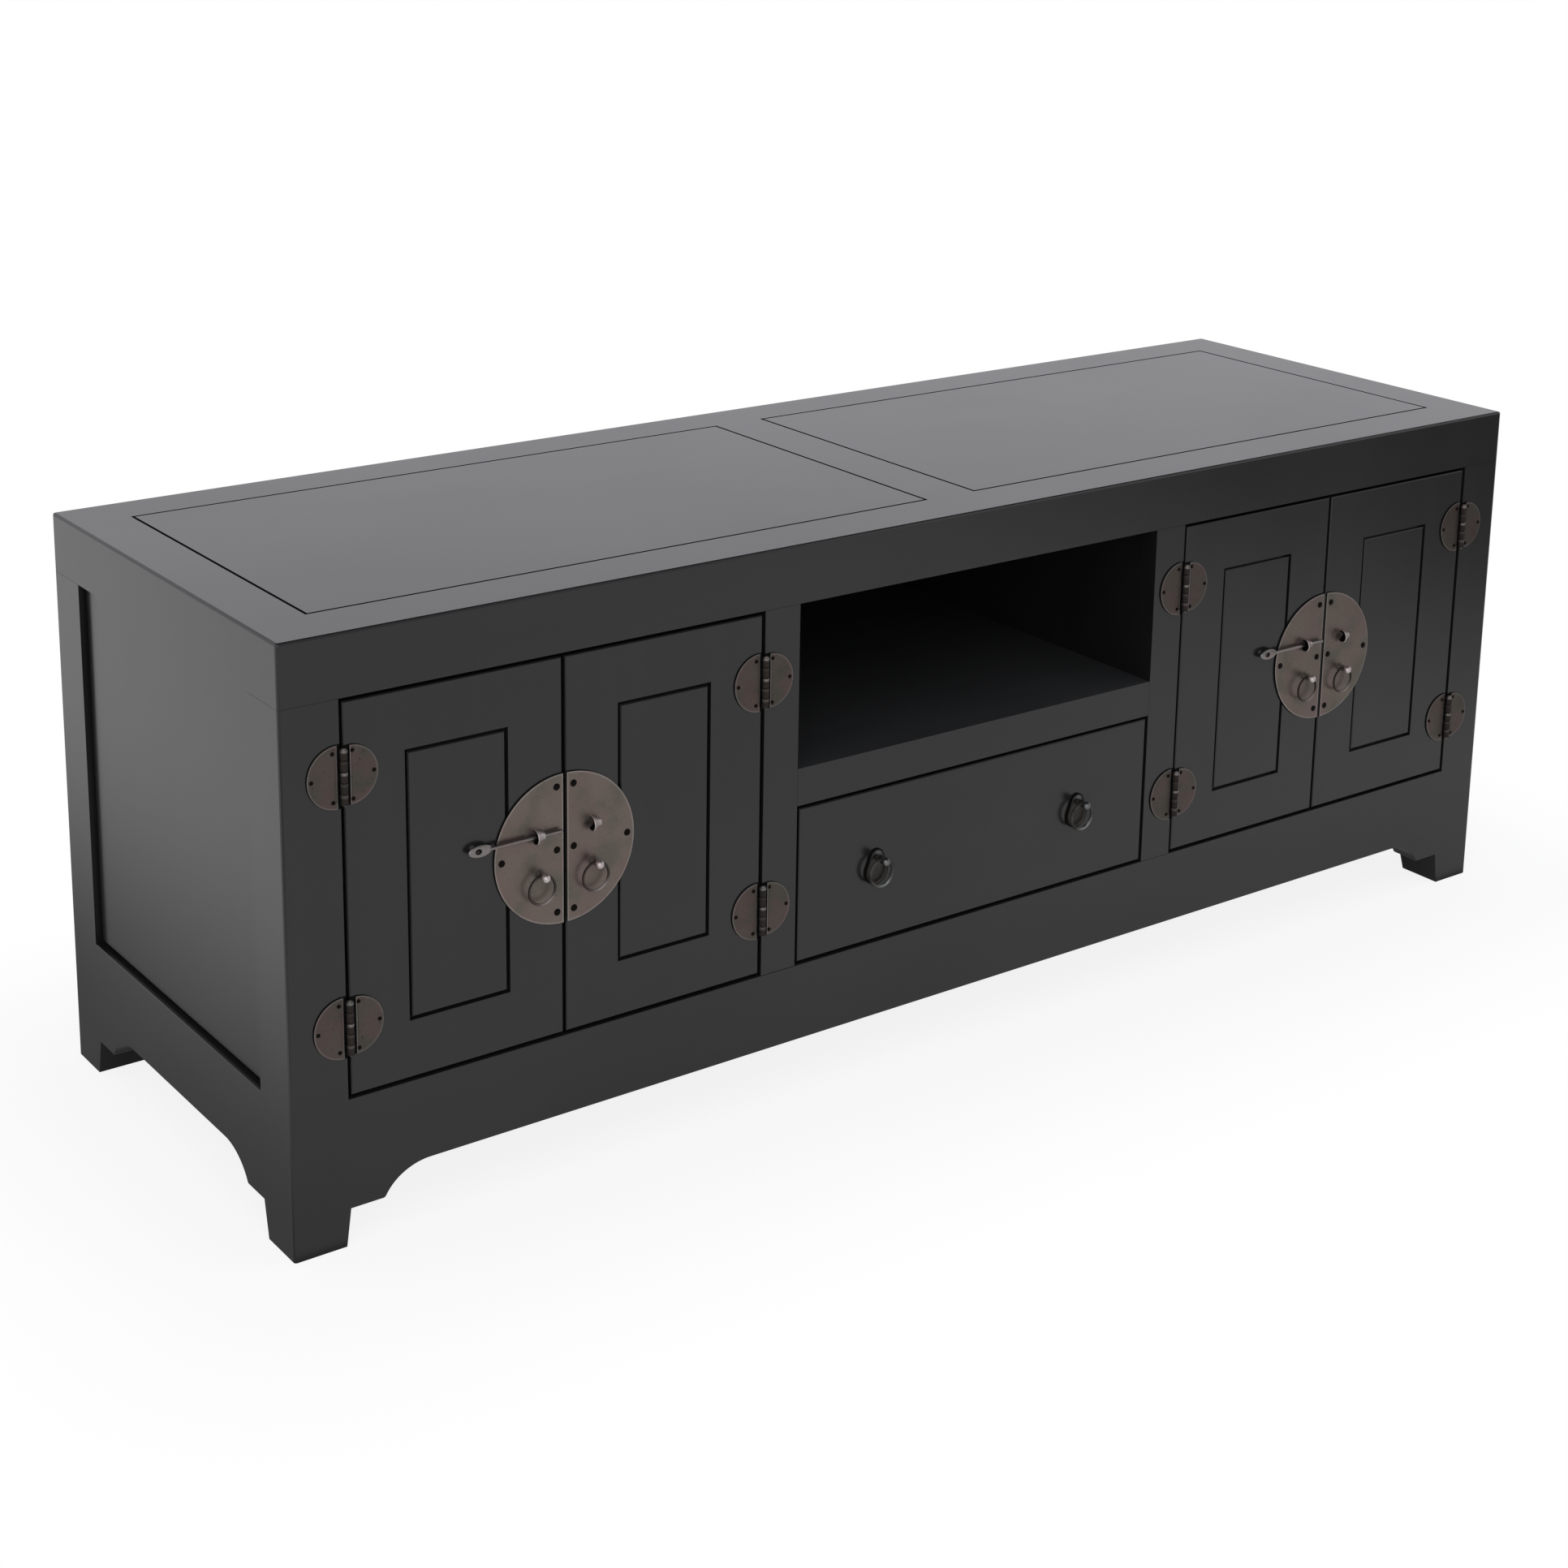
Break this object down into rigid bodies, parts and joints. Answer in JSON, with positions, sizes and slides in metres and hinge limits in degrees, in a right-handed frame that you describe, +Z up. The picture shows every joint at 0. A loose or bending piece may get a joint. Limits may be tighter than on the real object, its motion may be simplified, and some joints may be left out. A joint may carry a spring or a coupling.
{
  "type": "tv cabinet",
  "caption": "Low black-lacquered tv cabinet with framed doors, an open niche over a drawer, half-moon hinges, round split lock plates with sliding lock pins, and ring pulls.",
  "frame": {"origin": "middle of the overall footprint on the floor, pulls counted in", "axes": "+X to the right seen from the front, +Y from the doors to the back, +Z up"},
  "size_m": [1.3, 0.4274, 0.48],
  "materials": {
    "black_lacquer": "satin black lacquer on wood",
    "inside_boards": "dull black stain",
    "antique_brass": "dark antique brass, mottled",
    "dark_bronze": "dark antique brass",
    "dark_iron": "blackened, worn bright on edges",
    "worn_steel": "worn metal"
  },
  "bodies": {
    "carcass": {"post_front_left": "black_lacquer", "post_front_right": "black_lacquer", "post_back_left": "black_lacquer", "post_back_right": "black_lacquer", "top_frame": "black_lacquer", "top_panel_left": "black_lacquer", "top_panel_right": "black_lacquer", "front_apron": "black_lacquer", "side_apron_left": "black_lacquer", "side_apron_right": "black_lacquer", "back_rail": "black_lacquer", "front_stile_left": "black_lacquer", "front_stile_right": "black_lacquer", "niche_shelf": "black_lacquer", "side_panel_left": "black_lacquer", "side_panel_right": "black_lacquer", "partition_left": "inside_boards", "partition_right": "inside_boards", "bottom_board": "inside_boards", "back_panel": "inside_boards", "hinge_carcass_left_outer_upper": "dark_bronze", "hinge_carcass_left_outer_lower": "dark_bronze", "hinge_carcass_left_inner_upper": "dark_bronze", "hinge_carcass_left_inner_lower": "dark_bronze", "hinge_carcass_right_inner_upper": "dark_bronze", "hinge_carcass_right_inner_lower": "dark_bronze", "hinge_carcass_right_outer_upper": "dark_bronze", "hinge_carcass_right_outer_lower": "dark_bronze"},
    "door_left_outer": {"door_frame_left_outer": "black_lacquer", "door_panel_left_outer": "black_lacquer", "lock_plate_left_outer": "antique_brass", "hinge_door_left_outer_upper": "dark_bronze", "hinge_door_left_outer_lower": "dark_bronze"},
    "door_left_inner": {"door_frame_left_inner": "black_lacquer", "door_panel_left_inner": "black_lacquer", "lock_plate_left_inner": "antique_brass", "hinge_door_left_inner_upper": "dark_bronze", "hinge_door_left_inner_lower": "dark_bronze"},
    "door_right_inner": {"door_frame_right_inner": "black_lacquer", "door_panel_right_inner": "black_lacquer", "lock_plate_right_inner": "antique_brass", "hinge_door_right_inner_upper": "dark_bronze", "hinge_door_right_inner_lower": "dark_bronze"},
    "door_right_outer": {"door_frame_right_outer": "black_lacquer", "door_panel_right_outer": "black_lacquer", "lock_plate_right_outer": "antique_brass", "hinge_door_right_outer_upper": "dark_bronze", "hinge_door_right_outer_lower": "dark_bronze"},
    "drawer": {"drawer_front": "black_lacquer", "drawer_box": "inside_boards", "pull_base_left": "dark_iron", "pull_base_right": "dark_iron"},
    "pin_left": {"lock_pin_left": "worn_steel"},
    "pin_right": {"lock_pin_right": "worn_steel"},
    "ring_left_outer": {"door_ring_left_outer": "antique_brass"},
    "ring_left_inner": {"door_ring_left_inner": "antique_brass"},
    "ring_right_inner": {"door_ring_right_inner": "antique_brass"},
    "ring_right_outer": {"door_ring_right_outer": "antique_brass"},
    "drawer_ring_left": {"pull_ring_left": "dark_iron"},
    "drawer_ring_right": {"pull_ring_right": "dark_iron"}
  },
  "joints": [
    {"name": "door_left_outer_hinge", "type": "hinge", "parent": "carcass", "child": "door_left_outer", "pos_m": [-0.6015, -0.19965, 0.275], "axis": [0, 0, -1], "range_deg": [0, 170]},
    {"name": "door_left_inner_hinge", "type": "hinge", "parent": "carcass", "child": "door_left_inner", "pos_m": [-0.2305, -0.19965, 0.275], "axis": [0, 0, 1], "range_deg": [0, 90]},
    {"name": "door_right_inner_hinge", "type": "hinge", "parent": "carcass", "child": "door_right_inner", "pos_m": [0.2305, -0.19965, 0.275], "axis": [0, 0, -1], "range_deg": [0, 90]},
    {"name": "door_right_outer_hinge", "type": "hinge", "parent": "carcass", "child": "door_right_outer", "pos_m": [0.6015, -0.19965, 0.275], "axis": [0, 0, 1], "range_deg": [0, 170]},
    {"name": "drawer_slide", "type": "slide", "parent": "carcass", "child": "drawer", "axis": [0, -1, 0], "range_m": [0, 0.28]},
    {"name": "lock_pin_left_slide", "type": "slide", "parent": "door_left_outer", "child": "pin_left", "axis": [1, 0, 0], "range_m": [0, 0.041]},
    {"name": "lock_pin_right_slide", "type": "slide", "parent": "door_right_inner", "child": "pin_right", "axis": [1, 0, 0], "range_m": [0, 0.041]},
    {"name": "ring_left_outer_swing", "type": "hinge", "parent": "door_left_outer", "child": "ring_left_outer", "pos_m": [-0.44, -0.20355, 0.2595], "axis": [-1, 0, 0], "range_deg": [-5, 150]},
    {"name": "ring_left_inner_swing", "type": "hinge", "parent": "door_left_inner", "child": "ring_left_inner", "pos_m": [-0.392, -0.20355, 0.2595], "axis": [-1, 0, 0], "range_deg": [-5, 150]},
    {"name": "ring_right_inner_swing", "type": "hinge", "parent": "door_right_inner", "child": "ring_right_inner", "pos_m": [0.392, -0.20355, 0.2595], "axis": [-1, 0, 0], "range_deg": [-5, 150]},
    {"name": "ring_right_outer_swing", "type": "hinge", "parent": "door_right_outer", "child": "ring_right_outer", "pos_m": [0.44, -0.20355, 0.2595], "axis": [-1, 0, 0], "range_deg": [-5, 150]},
    {"name": "drawer_ring_left_swing", "type": "hinge", "parent": "drawer", "child": "drawer_ring_left", "pos_m": [-0.112, -0.20425, 0.196], "axis": [-1, 0, 0], "range_deg": [-5, 150]},
    {"name": "drawer_ring_right_swing", "type": "hinge", "parent": "drawer", "child": "drawer_ring_right", "pos_m": [0.112, -0.20425, 0.196], "axis": [-1, 0, 0], "range_deg": [-5, 150]}
  ]
}
